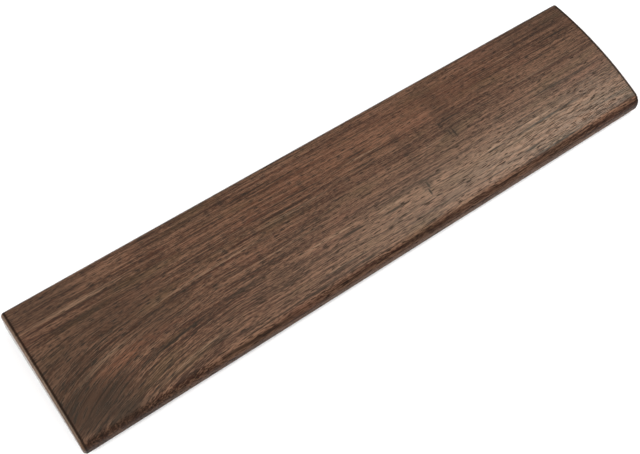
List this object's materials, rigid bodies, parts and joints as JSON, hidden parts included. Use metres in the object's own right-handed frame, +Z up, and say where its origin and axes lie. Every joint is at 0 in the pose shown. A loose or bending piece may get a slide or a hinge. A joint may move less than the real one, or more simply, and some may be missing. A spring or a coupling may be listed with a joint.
{
  "type": "wrist rest",
  "caption": "Solid walnut keyboard wrist rest: long low bar with a crowned top sloping down to a rounded front, and a rear face that leans in, on silicone feet.",
  "frame": {"origin": "the middle of the bar's footprint, on the desk that the feet stand on", "axes": "+X along the bar to the user's right, +Y from the user's side to the keyboard's side, +Z up"},
  "size_m": [0.36, 0.08, 0.0223],
  "materials": {
    "walnut": "sanded smooth and oiled to a satin, open pores",
    "foot_silicone": "matt moulded silicone",
    "foot_adhesive": "pale acrylic adhesive film"
  },
  "bodies": {
    "root": {"wooden_bar": "walnut", "foot_front_left": "foot_silicone", "foot_front_middle": "foot_silicone", "foot_front_right": "foot_silicone", "foot_rear_left": "foot_silicone", "foot_rear_middle": "foot_silicone", "foot_rear_right": "foot_silicone", "adhesive_front_left": "foot_adhesive", "adhesive_front_middle": "foot_adhesive", "adhesive_front_right": "foot_adhesive", "adhesive_rear_left": "foot_adhesive", "adhesive_rear_middle": "foot_adhesive", "adhesive_rear_right": "foot_adhesive"}
  },
  "joints": []
}
